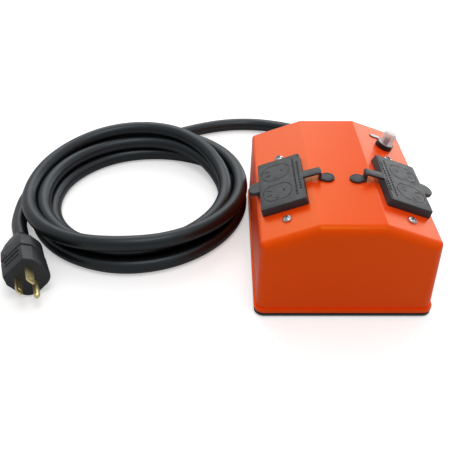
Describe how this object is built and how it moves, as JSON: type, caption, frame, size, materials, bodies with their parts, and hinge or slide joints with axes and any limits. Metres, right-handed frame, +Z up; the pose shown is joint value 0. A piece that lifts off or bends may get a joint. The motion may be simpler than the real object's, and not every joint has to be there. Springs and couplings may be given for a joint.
{
  "type": "portable surge protector outlet box",
  "caption": "Portable outdoor outlet box with flip-up rubber covers, a resettable breaker and a coiled heavy cord ending in a grounded plug.",
  "frame": {"origin": "centre of the housing's footprint, on the surface it stands on", "axes": "+Z up; +Y from the front of the housing towards the cord gland; +X towards the breaker side"},
  "size_m": [0.365, 0.311, 0.0925],
  "materials": {
    "orange_shell": "glossy moulded ABS",
    "black_plastic": "satin moulded",
    "black_rubber": "matte",
    "cover_rubber": "satin moulded rubber",
    "zinc_steel": "zinc plated",
    "outlet_nylon": "satin moulded nylon",
    "brass": "bright drawn brass",
    "nickel": "nickel plated",
    "clear_silicone": "clear moulded silicone",
    "button_plastic": "moulded",
    "plate_aluminium": "brushed plate, blank",
    "board_laminate": "solder-mask laminate",
    "white_nylon": "moulded nylon",
    "varistor_coat": "epoxy dip coat",
    "fuse_body": "ceramic-filled",
    "capacitor_film": "moulded box",
    "wire_green": "vinyl insulation",
    "wire_white": "vinyl insulation",
    "wire_black": "vinyl insulation",
    "gland_nylon": "moulded nylon",
    "cord_jacket": "thermoplastic-elastomer jacket, satin",
    "plug_vinyl": "moulded vinyl, satin"
  },
  "bodies": {
    "housing": {"base_plate": "black_plastic", "base_screws": "zinc_steel", "base_seal": "black_rubber", "board_posts": "white_nylon", "board_screws": "zinc_steel", "breaker_body": "black_plastic", "breaker_boot": "clear_silicone", "breaker_bushing": "nickel", "breaker_collar": "black_plastic", "breaker_terminals": "brass", "cord_coil": "cord_jacket", "cord_lead": "cord_jacket", "cord_tail": "cord_jacket", "filter_capacitor": "capacitor_film", "gland_body": "gland_nylon", "gland_locknut": "gland_nylon", "gland_nut": "gland_nylon", "gland_seal": "black_rubber", "ground_bar": "brass", "ground_wire": "wire_green", "left_cover_anchor": "cover_rubber", "left_ground_contact": "brass", "left_live_contact": "brass", "left_neutral_contact": "brass", "left_outlet_body": "outlet_nylon", "left_outlet_face": "outlet_nylon", "left_outlet_yoke": "zinc_steel", "line_wire": "wire_black", "load_wire": "wire_black", "neutral_wire": "wire_white", "outlet_screws": "zinc_steel", "plug_body": "plug_vinyl", "plug_bridge": "white_nylon", "plug_ground_pin": "brass", "plug_live_blade": "brass", "plug_neutral_blade": "brass", "rating_plate": "plate_aluminium", "right_cover_anchor": "cover_rubber", "right_ground_contact": "brass", "right_live_contact": "brass", "right_neutral_contact": "brass", "right_outlet_body": "outlet_nylon", "right_outlet_face": "outlet_nylon", "right_outlet_yoke": "zinc_steel", "rubber_feet": "black_rubber", "surge_board": "board_laminate", "terminal_block": "black_plastic", "thermal_fuse": "fuse_body", "top_casing": "orange_shell", "varistors": "varistor_coat"},
    "left_flap": {"left_cover": "cover_rubber"},
    "right_flap": {"right_cover": "cover_rubber"},
    "button": {"reset_button": "button_plastic"}
  },
  "joints": [
    {"name": "left_cover_hinge", "type": "hinge", "parent": "housing", "child": "left_flap", "pos_m": [-0.0177, -0.016, 0.0916], "axis": [0, 1, 0], "range_deg": [0, 110]},
    {"name": "right_cover_hinge", "type": "hinge", "parent": "housing", "child": "right_flap", "pos_m": [0.0177, -0.018, 0.0916], "axis": [0, -1, 0], "range_deg": [0, 110]},
    {"name": "reset_button_slide", "type": "slide", "parent": "housing", "child": "button", "axis": [0.3515, 0, 0.9362], "range_m": [0, 0.003]}
  ]
}
